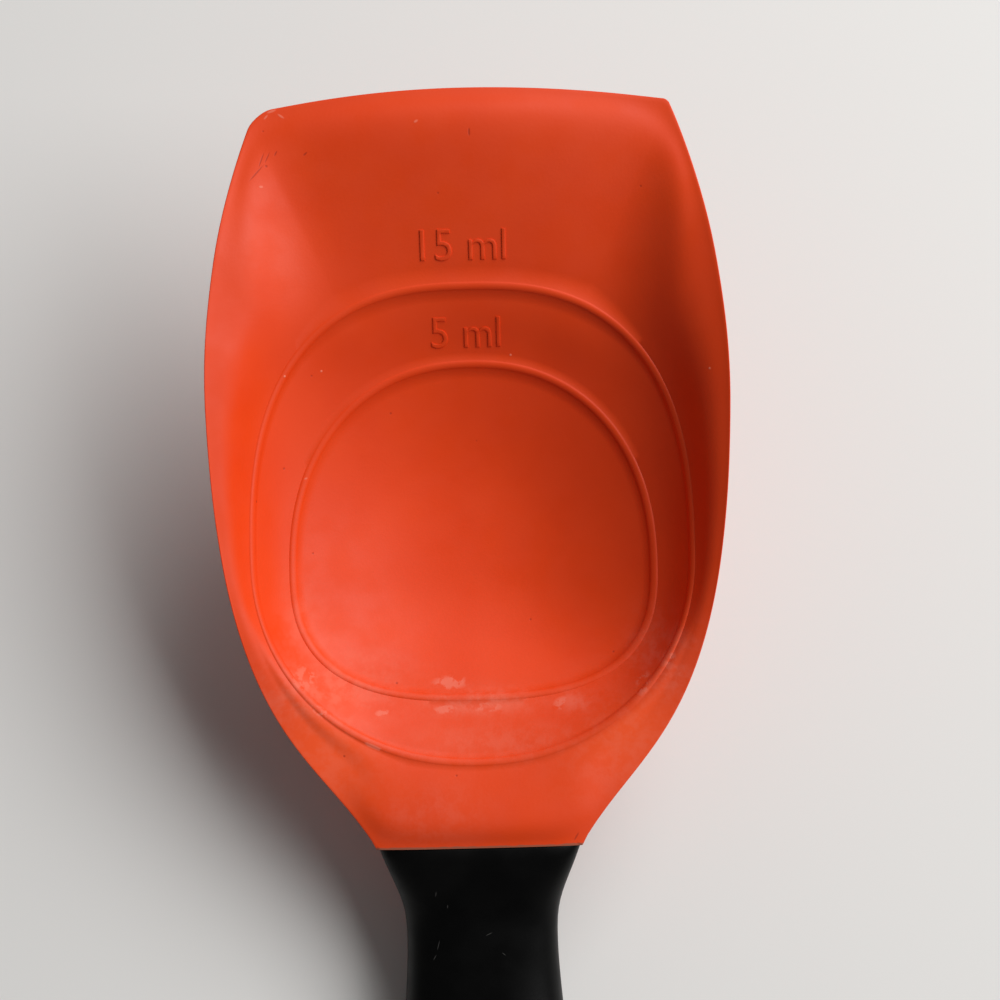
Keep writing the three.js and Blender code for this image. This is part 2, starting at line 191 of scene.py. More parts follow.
def calc(tree, operation, a, b=0.0):
    return addNode(tree, "ShaderNodeMath", {0: a, 1: b}, operation=operation).outputs[0]


def remap(tree, value, low, high, toLow=0.0, toHigh=1.0):
    sockets = {"Value": value, "From Min": low, "From Max": high, "To Min": toLow, "To Max": toHigh}
    return addNode(tree, "ShaderNodeMapRange", sockets, interpolation_type="SMOOTHSTEP").outputs["Result"]


def tint(tree, share, under, over):  # inputs 6 and 7 and output 2 are the node's colours
    return addNode(tree, "ShaderNodeMix", {0: share, 6: under, 7: over}, data_type="RGBA").outputs[2]


def grain(tree, coords, size, detail=2.0, roughness=0.5):  # size of the grain in mm
    sockets = {"Vector": coords, "Scale": 1 / size, "Detail": detail, "Roughness": roughness}
    return addNode(tree, "ShaderNodeTexNoise", sockets).outputs["Fac"]


def specks(tree, coords, spacing, radius, share):  # round specks in a share of the cells
    cells = addNode(tree, "ShaderNodeTexVoronoi", {"Vector": coords, "Scale": 1 / spacing, "Randomness": 1.0})
    near = remap(tree, cells.outputs["Distance"], radius / spacing, speckCore * radius / spacing)
    pick = addNode(tree, "ShaderNodeSeparateColor", {"Color": cells.outputs["Color"]}).outputs["Red"]
    chosen = calc(tree, "LESS_THAN", pick, share)
    return calc(tree, "MULTIPLY", near, chosen)


def addBump(tree, shader, height, strength, distance):
    bump = addNode(tree, "ShaderNodeBump", {"Height": height, "Strength": strength, "Distance": distance})
    tree.links.new(bump.outputs[0], shader.inputs["Normal"])


def strokes(tree, coords, marks):  # fine short lines: x, y, length, width in mm, and the angle in degrees
    total = None
    for x, y, length, width, angle in marks:
        turn, size = (0, 0, math.radians(angle)), (length / 2, width / 2, strokeDepth)
        sockets = {0: coords, 1: (x, y, 0), 2: turn, 3: size}
        turned = addNode(tree, "ShaderNodeMapping", sockets, vector_type="TEXTURE")
        far = addNode(tree, "ShaderNodeVectorMath", {0: turned.outputs[0]}, operation="LENGTH")
        mark = remap(tree, far.outputs["Value"], 1.0, strokeCore)
        total = mark if total is None else calc(tree, "MAXIMUM", total, mark)
    return total


def newFinish(name):
    finish = bpy.data.materials.new(name)
    finish.use_nodes = True
    tree = finish.node_tree
    place = addNode(tree, "ShaderNodeTexCoord", {}).outputs["Object"]
    seam = (0, seamAt * mm, headPlace["rimHeight"] * mm)
    sockets = {0: place, 1: seam, 2: (headPlace["pitch"], 0, 0), 3: (mm, mm, mm)}
    coords = addNode(tree, "ShaderNodeMapping", sockets, vector_type="TEXTURE").outputs[0]
    return finish, tree, tree.nodes["Principled BSDF"], coords


# silicone: matte red, with specks, fine scratches, a chalky film in the lower bowl and painted light on the
# sides of the neck

siliconeLook = {
    "red": (0.75, 0.054, 0.0045, 1),
    "deepRed": (0.73, 0.05, 0.004, 1),
    # painted light: a paler red that lights up the sides of the neck
    "paintedLightRed": (0.9, 0.08, 0.01, 1),
    "film": (0.86, 0.42, 0.32, 1),
    "filmShare": 0.2,
    "residueShare": 0.22,
    "flash": (0.24, 0.10, 0.06, 1),
    "dark": (0.30, 0.02, 0.006, 1),
    "light": (0.95, 0.45, 0.32, 1),
    "roughness": (0.46, 0.58),
    "filmRoughness": 0.15,
    "specular": 0.32,
    "cloud": (9.0, 3.0),  # grains: size in mm, detail and roughness
    "patch": (2.2, 6.0, 0.7),
    "tear": (1.0, 4.0, 0.6),
    "ragged": (1.1, 3.0),
    "gloss": (4.0, 4.0),
    "skin": (0.35, 3.0),
    "cloudBand": (0.35, 0.65),  # bands: from and to, low and high
    "patchBand": (0.4, 0.62, 0.3, 1.0),
    "tearBand": (0.44, 0.56),
    "flashBand": (0.28, 0.1, 0.0, 0.8),
    "glossBand": (0.3, 0.7),
    "raggedDepth": 0.3,
    "darkSpecks": (3.4, 0.22, 0.28),  # spacing, radius and share
    "lightSpecks": (4.7, 0.2, 0.22),
    "darkShare": 0.55,
    "fleckShare": 0.55,
    "lightShare": 0.4,
    "markDepth": 2.0,
    "bump": (0.25, 0.00004),
    "scratches": [
        (-24.6, 82.4, 3.2, 0.24, 50), (-24.0, 84.0, 2.4, 0.22, 70), (-23.3, 84.3, 1.8, 0.2, 65),
        (-22.3, 84.8, 0.9, 0.25, 61), (-18.8, 84.7, 0.8, 0.3, 40), (0.9, 86.7, 1.2, 0.35, 90),
        (12.0, 0.9, 1.5, 0.3, 60),
    ],
    "flecks": [  # pale torn spots, the same way
        (-22.7, 89.9, 1.5, 0.4, 20), (-21.6, 89.3, 1.2, 0.35, -35), (-23.4, 89.2, 0.9, 0.3, 50),
        (-24.1, 80.8, 0.6, 0.4, 0), (-5.4, 88.1, 0.7, 0.4, 30), (-20.9, 46.0, 0.6, 0.3, 20),
    ],
    "residue": [  # dried spots, the same way
        (-3.9, 16.5, 4.6, 1.5, 5), (1.4, 16.6, 6.2, 1.7, 3), (10.9, 17.0, 3.4, 2.0, 15),
        (-11.8, 16.3, 2.6, 1.2, 0), (-21.3, 21.0, 4.6, 3.6, -60), (-19.2, 17.0, 4.2, 1.6, -35),
        (-13.0, 12.6, 5.0, 0.7, -25), (-3.3, 19.6, 6.0, 2.2, 0), (20.8, 19.6, 2.2, 4.2, -20),
        (24.0, 22.4, 1.8, 3.6, -20),
    ],
}


def siliconeFinish():
    look = siliconeLook
    finish, tree, shader, coords = newFinish("scoop_silicone")
    cloud = remap(tree, grain(tree, coords, *look["cloud"]), *look["cloudBand"])
    colour = tint(tree, cloud, look["red"], look["deepRed"])
    # painted light: the pale attribute tints the sides of the neck paler, as if more light fell there
    pale = addNode(tree, "ShaderNodeAttribute", {}, attribute_name="pale").outputs["Fac"]
    colour = tint(tree, pale, colour, look["paintedLightRed"])
    film = addNode(tree, "ShaderNodeAttribute", {}, attribute_name="film").outputs["Fac"]
    inside = addNode(tree, "ShaderNodeAttribute", {}, attribute_name="inside").outputs["Fac"]
    patchy = remap(tree, grain(tree, coords, *look["patch"]), *look["patchBand"])
    streaky = calc(tree, "MULTIPLY", film, patchy)
    torn = remap(tree, grain(tree, coords, *look["tear"]), *look["tearBand"])
    torn = calc(tree, "MULTIPLY", torn, inside)
    residue = calc(tree, "MULTIPLY", strokes(tree, coords, look["residue"]), torn)
    chalk = calc(tree, "MULTIPLY", streaky, look["filmShare"])
    chalk = calc(tree, "MAXIMUM", chalk, calc(tree, "MULTIPLY", residue, look["residueShare"]))
    colour = tint(tree, chalk, colour, look["film"])
    along = addNode(tree, "ShaderNodeSeparateXYZ", {0: coords}).outputs["Y"]
    ragged = calc(tree, "MULTIPLY", grain(tree, coords, *look["ragged"]), look["raggedDepth"])
    ragged = calc(tree, "ADD", along, ragged)
    colour = tint(tree, remap(tree, ragged, *look["flashBand"]), colour, look["flash"])
    scratch = calc(tree, "MULTIPLY", strokes(tree, coords, look["scratches"]), inside)
    marks = calc(tree, "MAXIMUM", specks(tree, coords, *look["darkSpecks"]), scratch)
    colour = tint(tree, calc(tree, "MULTIPLY", marks, look["darkShare"]), colour, look["dark"])
    flecks = calc(tree, "MULTIPLY", strokes(tree, coords, look["flecks"]), look["fleckShare"])
    flecks = calc(tree, "MULTIPLY", flecks, inside)
    flecks = calc(tree, "MAXIMUM", specks(tree, coords, *look["lightSpecks"]), flecks)
    colour = tint(tree, calc(tree, "MULTIPLY", flecks, look["lightShare"]), colour, look["light"])
    tree.links.new(colour, shader.inputs["Base Color"])
    rough = remap(tree, grain(tree, coords, *look["gloss"]), *look["glossBand"], *look["roughness"])
    rough = calc(tree, "ADD", rough, calc(tree, "MULTIPLY", streaky, look["filmRoughness"]))
    tree.links.new(rough, shader.inputs["Roughness"])
    height = grain(tree, coords, *look["skin"])
    height = calc(tree, "SUBTRACT", height, calc(tree, "MULTIPLY", marks, look["markDepth"]))
    height = calc(tree, "ADD", height, calc(tree, "MULTIPLY", flecks, look["markDepth"]))
    addBump(tree, shader, height, *look["bump"])
    shader.inputs["Specular IOR Level"].default_value = look["specular"]
    return finish


# nylon: satin black with a fine moulded grain, dust and a few lint fibres

nylonLook = {
    "black": (0.0006, 0.0006, 0.0006, 1),
    "worn": (0.0022, 0.0021, 0.002, 1),
    "dust": (0.22, 0.21, 0.20, 1),
    "roughness": (0.38, 0.5),
    "specular": 0.13,
    "cloud": (14.0, 3.0),
    "gloss": (5.0, 4.0),
    "skin": (0.28, 3.0),
    "cloudBand": (0.45, 0.75),
    "glossBand": (0.3, 0.7),
    "dustSpecks": (3.1, 0.13, 0.2),
    "dustShare": 0.3,
    "lintShare": 0.25,
    "bump": (0.3, 0.00003),
    "lint": [
        (-5.6, -6.2, 0.9, 0.12, 80), (-4.2, -7.9, 0.6, 0.12, 85), (-5.5, -13.0, 1.6, 0.1, 75),
        (-6.0, -14.6, 1.0, 0.1, 60), (0.9, -11.6, 1.1, 0.1, 25), (2.7, -14.2, 0.7, 0.1, -40),
    ],
}


def nylonFinish():
    look = nylonLook
    finish, tree, shader, coords = newFinish("handle_nylon")
    cloud = remap(tree, grain(tree, coords, *look["cloud"]), *look["cloudBand"])
    colour = tint(tree, cloud, look["black"], look["worn"])
    dust = calc(tree, "MULTIPLY", specks(tree, coords, *look["dustSpecks"]), look["dustShare"])
    lint = calc(tree, "MULTIPLY", strokes(tree, coords, look["lint"]), look["lintShare"])
    colour = tint(tree, calc(tree, "MAXIMUM", dust, lint), colour, look["dust"])
    tree.links.new(colour, shader.inputs["Base Color"])
    rough = remap(tree, grain(tree, coords, *look["gloss"]), *look["glossBand"], *look["roughness"])
    tree.links.new(rough, shader.inputs["Roughness"])
    addBump(tree, shader, grain(tree, coords, *look["skin"]), *look["bump"])
    shader.inputs["Specular IOR Level"].default_value = look["specular"]
    return finish


# core: matte grey nylon with flow marks, hidden inside the other two

coreLook = {
    "grey": (0.045, 0.047, 0.05, 1),
    "pale": (0.07, 0.072, 0.075, 1),
    "roughness": (0.5, 0.68),
    "flow": (6.0, 5.0, 0.6),
    "skin": (0.4,),
    "flowBand": (0.35, 0.7),
    "glossBand": (0.3, 0.7),
    "bump": (0.3, 0.00005),
}


def coreFinish():
    look = coreLook
    finish, tree, shader, coords = newFinish("core_nylon")
    flow = grain(tree, coords, *look["flow"])
    colour = tint(tree, remap(tree, flow, *look["flowBand"]), look["grey"], look["pale"])
    tree.links.new(colour, shader.inputs["Base Color"])
    rough = remap(tree, flow, *look["glossBand"], *look["roughness"])
    tree.links.new(rough, shader.inputs["Roughness"])
    addBump(tree, shader, grain(tree, coords, *look["skin"]), *look["bump"])
    return finish


silicone = siliconeFinish()
nylon = nylonFinish()
print("finishes made")


# scoop: rings from the bottom of the bowl over both raised lines to the rim, and back underneath

bowl = {
    "depth": 15.2,
    "centre": 37.8,
    "floorShare": 0.48,
    "floorRise": 1.25,
    "small": {  # a raised line: reach and power of its two ends
        "height": 6.15, "dip": 0.5, "centre": 34.3, "half": 22.8, "front": (25.7, 2.2), "back": (16.5, 2.7),
    },
    "large": {
        "height": 10.75, "dip": 1.5, "centre": 35.8, "half": 27.1, "front": (33.4, 2.6), "back": (25.6, 2.1),
    },
    "lineWidth": 1.1,
    "lineHeight": 0.22,
    "linePower": 0.7,
    "lineRings": (-1.0, -0.84, -0.55, 0.0, 0.55, 0.84, 1.0),
    "lipPlace": (0.5, 0.74),  # at the sides and at the tip, as shares of the way from the large line
    "lipRise": (0.68, 1.16),
    "frontLip": (70.0, 86.5),
    "cornerLip": 0.23,
    "body": 4.8,
    "sideLip": 1.9,
    "thinFrom": (4.0, 4.72),  # place on a spoke, at the neck and elsewhere
    "edgeRound": 0.5,
    "edgeSegments": 3,
    "sharp": math.radians(50),
    "cornerEase": math.radians(5),  # how far the bowl's form ignores the corners of its outline
    "rimTries": 6,
    "firstRings": (1.04, 1.1),  # places on a spoke
    "smallRoom": (2.94, 3.06),  # kept for the raised lines' own rings
    "largeRoom": (3.92, 4.08),
    "lastRings": (1.1, 1.05),
    "floorCounts": (8, 9),  # rings between the stops
    "middleCount": 10,
    "rimCounts": (11, 9),
    "underCounts": (8, 9, 8, 14),
}
neck = {
    "drop": 4.8,
    "crest": 0.65,
    "crestPlace": 0.66,
    "crestBlend": 9.0,
    "thick": 8.0,
    "sideThick": 4.4,
    "dip": (8.0, 46.0),  # where the sides of the head come down to the neck
    "blend": 20.0,
    "power": 4,
    "sideFall": 0.5,
    "overlap": 0.22,  # closes most of the gap at the seam
}
filmSpots = [  # chalky film: x, y, reach across, reach along, strength
    (-18.5, 19.0, 9.0, 5.5, 0.8), (0.5, 17.2, 7.0, 1.6, 1.0), (12.3, 17.2, 2.6, 1.4, 0.8),
    (23.5, 22.5, 4.0, 5.0, 0.8), (4.0, 12.5, 16.0, 2.5, 0.45), (-6.0, 4.0, 7.0, 4.0, 0.35),
    (-22.0, 27.0, 2.5, 6.0, 0.4), (19.0, 12.5, 9.0, 8.0, 0.4), (-20.0, 11.5, 9.0, 8.0, 0.4),
]
paintedLightSpots = [(-18.6, 12.5, 7.0, 9.0), (18.0, 15.0, 6.5, 6.5)]  # painted light: the sides of the neck tinted paler, standing in for more light falling there, all as strong
paintedLightBlend = 1.2  # the painted light fades in over this far outside the large line
floorBottom = Vector((0, bowl["small"]["centre"], -bowl["depth"]))
nudge = 0.01  # a short way along a spoke, to find its slope
floorAt, smallAt, largeAt, lipAt, rimAt = range(2, 7)  # places of a spoke's stops, after 1 at the bottom
seamSlack = 0.001
insideTilt = 0.2  # a face is on the inside if its normal rises more than this


def halfOutline(side):
    o = outline
    flareReach, shoulderReach, cheekReach, cornerReach = o["reaches"]
    neckCorner = Vector((o["neckWidth"] / 2, 0, 0))
    crown = o["tipCrown"][side]
    corner = Vector((o["tipWidth"] / 2, o["length"] - crown, 0))
    widest = Vector((o["width"] / 2, o["widest"], 0))
    flareEnd = neckCorner + flareReach * Vector((math.sin(o["flare"]), math.cos(o["flare"]), 0))
    cornerStart = corner + cornerReach * Vector((math.sin(o["tipLean"]), -math.cos(o["tipLean"]), 0))
    shoulder = widest - Vector((0, shoulderReach, 0))
    cheek = widest + Vector((0, cheekReach, 0))
    lower = interpolate_bezier(neckCorner, flareEnd, shoulder, widest, o["lowerSteps"])
    upper = interpolate_bezier(widest, cheek, cornerStart, corner, o["upperSteps"])
    radius = (corner.x**2 + crown**2) / (2 * crown)
    across = [corner.x * (1 - i / o["arcSteps"]) for i in range(o["arcSteps"] + 1)]
    tip = [Vector((x, o["length"] - radius + math.sqrt(radius**2 - x**2), 0)) for x in across]
    cut = o["cornerCut"][side]
    sidePart = evenly([p for p in lower + upper[1:] if (p - corner).length > cut], o["sideSteps"])
    tipPart = evenly([p for p in tip if (p - corner).length > cut], o["tipSteps"])
    a, b = sidePart[-1], tipPart[0]
    pulled = [p.lerp(corner, o["cornerPull"]) for p in (a, b)]
    turn = interpolate_bezier(a, *pulled, b, o["cornerSteps"])[1:-1]
    seam = [neckCorner * (i / o["seamSteps"]) for i in range(o["seamSteps"])]
    return [Vector((side * p.x, p.y, 0)) for p in seam + sidePart + turn + tipPart]


def linePoint(line, angle):
    c, s = math.cos(angle), math.sin(angle)
    reach, power = line["front"] if s > 0 else line["back"]
    share = (abs(c) / line["half"]) ** power + (abs(s) / reach) ** power
    radius = share ** (-1 / power)
    dip = line["dip"] * max(0.0, -s) ** 2
    return Vector((radius * c, line["centre"] + radius * s, line["height"] - dip - bowl["depth"]))


def beyondLine(p):  # how far the point lies outside the large line
    middle = Vector((0, bowl["large"]["centre"]))
    offset = p.xy - middle
    return offset.length - (linePoint(bowl["large"], math.atan2(offset.y, offset.x)).xy - middle).length


def floorPoint(angle):
    p = floorBottom.lerp(linePoint(bowl["small"], angle), bowl["floorShare"])
    p.z = floorBottom.z + bowl["floorRise"]
    return p


def atSide(p):  # 0 in the middle of the neck, rising past its sides
    across = (abs(p.x) / (outline["neckWidth"] / 2)) ** neck["power"]
    return across / (1 + across)


def softRim(rims):  # the outline without its corners, each point in the same direction as before
    angles = [math.atan2(p.y - bowl["centre"], p.x) for p in rims]
    reaches = [math.hypot(p.x, p.y - bowl["centre"]) for p in rims]
    gaps = [(b - a) % (2 * math.pi) for a, b in zip(angles[-1:] + angles[:-1], angles)]
    soft = []
    for angle in angles:
        turns = [math.remainder(angle - other, 2 * math.pi) / bowl["cornerEase"] for other in angles]
        weights = [gap * math.exp(-turn * turn) for gap, turn in zip(gaps, turns)]
        reach = sum(w * r for w, r in zip(weights, reaches)) / sum(weights)
        soft.append((angle, Vector((reach * math.cos(angle), bowl["centre"] + reach * math.sin(angle), 0))))
    return soft


def makeSpoke(rim, angle, soft):
    front = ease(soft.y, outline["widest"], outline["length"])
    fall = neck["drop"] + neck["sideFall"] * atSide(soft)
    edge = Vector((soft.x, soft.y, -fall * (1 - ease(soft.y, *neck["dip"]))))
    edge.z += outline["sideRise"] * ease(soft.y, *outline["sideClimb"])
    edge.z -= (outline["sideRise"] - outline["tipRise"]) * ease(soft.y, *outline["tipDip"])
    thin = mix(bowl["sideLip"], outline["tipLip"], front)
    thick = mix(thin, mix(neck["thick"], neck["sideThick"], atSide(rim)), 1 - ease(rim.y, 0, neck["blend"]))
    large = linePoint(bowl["large"], angle)
    ahead = ease(soft.y, *bowl["frontLip"])
    crest = 1 - ease(soft.y, 0, neck["crestBlend"])
    lip = large.lerp(edge, mix(mix(*bowl["lipPlace"], ahead), neck["crestPlace"], crest))
    sideRise, tipRise = bowl["lipRise"]
    tipRise -= bowl["cornerLip"] * min(1.0, (2 * soft.x / outline["tipWidth"]) ** 2)
    lip.z = mix(large.z, edge.z, mix(sideRise, tipRise, ahead))
    lip.z = mix(lip.z, edge.z + neck["crest"], crest)
    small = linePoint(bowl["small"], angle)
    stops = [floorPoint(angle + math.pi), floorBottom, floorPoint(angle), small, large, lip, edge]
    way = Vector((math.cos(angle), math.sin(angle), 0))
    end = float(rimAt)
    for _ in range(bowl["rimTries"]):  # where the spoke meets the outline
        slope = (through(stops, end + nudge) - through(stops, end - nudge)).dot(way) / (2 * nudge)
        end += (rim - through(stops, end)).dot(way) / slope
    shift = rim - through(stops, end)
    shift.z = 0
    return {"stops": stops, "thick": thick, "end": end, "shift": shift}


def thickness(spoke, place):
    free = spoke["thick"] < bowl["body"]
    return mix(bowl["body"], spoke["thick"], ease(place, bowl["thinFrom"][free], rimAt))


def topAt(spoke, place):
    beyond = max(0.0, (place - largeAt) / (rimAt - largeAt))
    return through(spoke["stops"], place + beyond * (spoke["end"] - rimAt)) + spoke["shift"] * beyond**2


def underAt(spoke, place):
    return topAt(spoke, place) - Vector((0, 0, thickness(spoke, place)))


def raisedAt(spoke, line, offset):  # across a raised line, offset from -1 to 1
    step = (topAt(spoke, line + nudge) - topAt(spoke, line - nudge)) / (2 * nudge)
    p = topAt(spoke, line + offset * bowl["lineWidth"] / 2 / step.length)
    outward = Vector((step.x, step.y, 0)).normalized()
    up = Vector((-step.z * outward.x, -step.z * outward.y, step.dot(outward))).normalized()
    return p + up * bowl["lineHeight"] * (1 - offset**2) ** bowl["linePower"]


def spread(low, high, count):  # places between two stops, without the ends
    return [mix(low, high, (i + 1) / (count + 1)) for i in range(count)]


def joined(stops, counts):  # the stops, and count places between each two
    places = [stops[0]]
    for low, high, count in zip(stops, stops[1:], counts):
        places += spread(low, high, count) + [high]
    return places


def makeScoop():
    right, left = halfOutline(1), halfOutline(-1)
    rims = right + left[-2:0:-1]
    spokes = [makeSpoke(rim, *soft) for rim, soft in zip(rims, softRim(rims))]
    innermost, inner = bowl["firstRings"]
    smallFrom, smallTo = bowl["smallRoom"]
    largeFrom, largeTo = bowl["largeRoom"]
    underInner, underInnermost = bowl["lastRings"]
    floorPlaces = [innermost] + joined([inner, floorAt, smallFrom], bowl["floorCounts"])[:-1]
    middlePlaces = spread(smallTo, largeFrom, bowl["middleCount"])
    rimPlaces = joined([largeTo, lipAt, rimAt], bowl["rimCounts"])[1:]
    underPlaces = joined([rimAt, lipAt, largeAt, smallAt, underInner], bowl["underCounts"])[:-1]
    underPlaces.append(underInnermost)
    bm = bmesh.new()
    ring = startRing(bm, [topAt(s, floorPlaces[0]) for s in spokes])
    for place in floorPlaces[1:]:
        ring = nextRing(bm, ring, [topAt(s, place) for s in spokes])
    for line, beyond in ((smallAt, middlePlaces), (largeAt, rimPlaces)):
        for offset in bowl["lineRings"]:
            ring = nextRing(bm, ring, [raisedAt(s, line, offset) for s in spokes])
        for place in beyond:
            ring = nextRing(bm, ring, [topAt(s, place) for s in spokes])
    topEdge = ring
    ring = nextRing(bm, ring, [underAt(s, underPlaces[0]) for s in spokes])
    underEdge = ring
    for place in underPlaces[1:]:
        ring = nextRing(bm, ring, [underAt(s, place) for s in spokes])
    closeRing(bm, ring)
    for v in topEdge + underEdge:  # the neck reaches into the seam's gap
        if v.co.y < seamSlack:
            v.co.y = -neck["overlap"]
    edges = ringEdges(bm, topEdge) + ringEdges(bm, underEdge)
    lips = [e for e in edges if max(v.co.y for v in e.verts) > seamSlack]
    bmesh.ops.bevel(
        bm, geom=lips, offset=bowl["edgeRound"], segments=bowl["edgeSegments"], profile=bevelProfile,
        affect="EDGES", material=-1, clamp_overlap=True,
    )
    bmesh.ops.recalc_face_normals(bm, faces=bm.faces[:])
    film = bm.verts.layers.float.new("film")
    inside = bm.verts.layers.float.new("inside")
    # pale holds painted light: a paler tint on the sides of the neck, standing in for light
    pale = bm.verts.layers.float.new("pale")
    for v in bm.verts:
        v[inside] = 1.0 if v.normal.z > insideTilt else 0.0
        outer = v[inside] * ease(beyondLine(v.co), 0.0, paintedLightBlend)
        for x, y, across, along in paintedLightSpots:
            far = ((v.co.x - x) / across) ** 2 + ((v.co.y - y) / along) ** 2
            v[pale] = max(v[pale], outer * math.exp(-far))
        for x, y, across, along, strength in filmSpots:
            far = ((v.co.x - x) / across) ** 2 + ((v.co.y - y) / along) ** 2
            v[film] = max(v[film], v[inside] * strength * math.exp(-far))
    surface = BVHTree.FromBMesh(bm)
    bmesh.ops.transform(bm, matrix=toMetres @ headPose, verts=bm.verts[:])
    finishPiece("silicone_scoop", bm, silicone, "head_silicone", bowl["sharp"], "silicone_head")
    return surface


scoopSurface = makeScoop()


# raised capacity numerals on the bowl's front slope

numerals = {
    "marks": [("15 ml", (-0.6, 72.2)), ("5 ml", (-0.2, 62.0))],
    "capHeight": 3.6,
    "capShare": 0.69,  # of the font's size
    "raised": 0.06,
    "sunk": 0.5,
    "soft": 0.09,
    "softSteps": 1,
    "grid": 0.5,
    "weld": 0.0001,
    "sharp": math.radians(40),
}


def makeNumerals(words, middle):
    curve = bpy.data.curves.new("numeral_curve", "FONT")
    curve.body = words
    curve.align_x = "CENTER"
    curve.size = numerals["capHeight"] / numerals["capShare"]
    curve.extrude = numerals["raised"]
    curve.bevel_depth = numerals["soft"]
    curve.bevel_resolution = numerals["softSteps"]
    curve.offset = -numerals["soft"]
    text = bpy.data.objects.new("numeral_text", curve)
    bpy.context.scene.collection.objects.link(text)
    bpy.context.view_layer.update()
    flat = bpy.data.meshes.new_from_object(text.evaluated_get(bpy.context.evaluated_depsgraph_get()))
    bpy.data.objects.remove(text)
    bm = bmesh.new()
    bm.from_mesh(flat)
    bmesh.ops.remove_doubles(bm, verts=bm.verts[:], dist=numerals["weld"])
    bmesh.ops.translate(bm, verts=bm.verts[:], vec=(*middle, 0))
    low = Vector((min(v.co.x for v in bm.verts), min(v.co.y for v in bm.verts), 0))
    high = Vector((max(v.co.x for v in bm.verts), max(v.co.y for v in bm.verts), 0))
    for axis in (0, 1):  # a fine grid, so that the letters can follow the bowl
        normal = Vector((axis == 0, axis == 1, 0))
        for i in range(1, int((high[axis] - low[axis]) / numerals["grid"]) + 1):
            geometry = bm.verts[:] + bm.edges[:] + bm.faces[:]
            at = low + normal * i * numerals["grid"]
            bmesh.ops.bisect_plane(bm, geom=geometry, dist=planeSlack, plane_co=at, plane_no=normal)
    for v in bm.verts:
        hit = scoopSurface.ray_cast(Vector((v.co.x, v.co.y, clear)), Vector((0, 0, -1)))[0]
        v.co.z = hit.z + (v.co.z if v.co.z > 0 else -numerals["sunk"])
    bmesh.ops.transform(bm, matrix=toMetres @ headPose, verts=bm.verts[:])
    finishPiece("numerals_" + words.replace(" ", "_"), bm, silicone, "head_silicone", numerals["sharp"])


for words, middle in numerals["marks"]:
    makeNumerals(words, middle)


# handle: sections square to a bent spine, cut at the seam and flattened where it stands

handle = {
    "waist": 11.4,
    "flare": math.radians(24.7),
    "bend": math.radians(16),
    "overrun": 3.0,
    "gap": 0.3,
    "stations": [  # from behind the seam: y, height of the spine, width, thickness
        (-31.0, 5.8, 22.4, 13.0), (-92.0, 17.8, 26.0, 13.6),
        (-157.0, 4.5, 23.4, 10.4), (-177.0, 4.5, 23.4, 10.4),
    ],
    "waistSize": (19.4, 9.4),
    "endRound": 11.0,
    "power": 2.7,
    "around": 160,
    "step": 1.4,
    "slotStep": 0.5,
    "endSteps": 12,
    "seamRound": 0.25,
    "seamSegments": 2,
    "slotAt": -152.0,
    "slotSize": (7.0, 14.0),
    "slotRound": 0.9,
    "slotSegments": 4,
    "slotFacing": 0.5,  # faces that look up or down at least this much are opened
    "tiny": 1e-6,
    "spanSteps": 60,
    "endSweep": 0.49 * math.pi,
    "sharp": math.radians(38),
}


def tautThrough(stops, k, w):  # as through, with turns that suit uneven distances
    b, c = stops[k], stops[k + 1]
    a = stops[k - 1] if k > 0 else 2 * b - c
    d = stops[k + 2] if k + 2 < len(stops) else 2 * c - b
    t0, t1, t2 = (math.sqrt((q - p).length) for p, q in ((a, b), (b, c), (c, d)))
    inTurn = ((b - a) / t0 - (c - a) / (t0 + t1) + (c - b) / t1) * t1
    outTurn = ((c - b) / t1 - (d - b) / (t1 + t2) + (d - c) / t2) * t1
    return hermite(b, c, inTurn, outTurn, w)


def handleSpine():  # distance from the seam, centre, half width and half thickness, closely spaced
    axis = seamPose.to_3x3() @ Vector((0, 1, 0))
    bentAxis = Matrix.Rotation(handle["bend"], 3, "X") @ axis
    seamCentre = seamPose @ Vector((0, 0, -neck["drop"] - neck["thick"] / 2))
    stops = [seamCentre + axis * handle["waist"], seamCentre, seamCentre - bentAxis * handle["waist"]]
    flared = outline["neckWidth"] + 2 * handle["waist"] * math.tan(handle["flare"])
    seamSize = Vector((outline["neckWidth"], neck["thick"]))
    sizes = [Vector((flared, neck["thick"])), seamSize, Vector(handle["waistSize"])]
    for y, height, width, thick in handle["stations"]:
        stops.append(Vector((0, y, height)))
        sizes.append(Vector((width, thick)))
    rows = []
    steps = handle["spanSteps"]
    for k in range(len(stops) - 1):
        for i in range(steps):
            rows.append((tautThrough(stops, k, i / steps), through(sizes, k + i / steps) / 2))
    rows.append((stops[-1], sizes[-1] / 2))
    far = [0.0]
    for (a, _), (b, _) in zip(rows, rows[1:]):
        far.append(far[-1] + (b - a).length)
    seamFar = far[steps]
    return [(d - seamFar, centre, half) for d, (centre, half) in zip(far, rows)]


